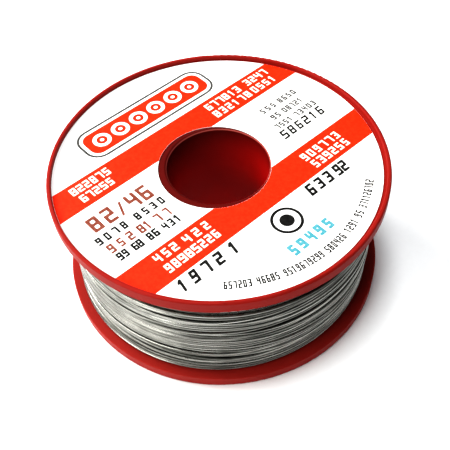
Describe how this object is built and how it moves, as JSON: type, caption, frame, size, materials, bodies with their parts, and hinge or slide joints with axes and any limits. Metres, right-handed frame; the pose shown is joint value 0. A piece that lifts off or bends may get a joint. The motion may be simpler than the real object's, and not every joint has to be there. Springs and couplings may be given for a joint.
{
  "type": "solder wire spool",
  "caption": "Small flanged reel wound full with thin flux-cored solder wire, with a printed paper ring on the upper flange and a plain spindle bore.",
  "frame": {"origin": "centre of the lower rim, on the spindle axis, where the reel stands on its lower flange", "axes": "+Z along the spindle bore, towards the flange with the paper ring; the stripes of the print rise towards +X; the wire's free end is on the +Y side"},
  "size_m": [0.056, 0.056, 0.024],
  "materials": {
    "red_polystyrene": "moulded, satin gloss",
    "label_paper": "coated, printed",
    "solder": "drawn tin-lead wire, dull bright",
    "flux": "rosin, translucent amber"
  },
  "bodies": {
    "root": {"top_flange": "red_polystyrene", "bottom_flange": "red_polystyrene", "core_tube": "red_polystyrene", "paper_label": "label_paper", "inner_layers": "solder", "outer_layer": "solder", "last_turns": "solder", "free_end": "solder", "flux_core": "flux"}
  },
  "joints": []
}
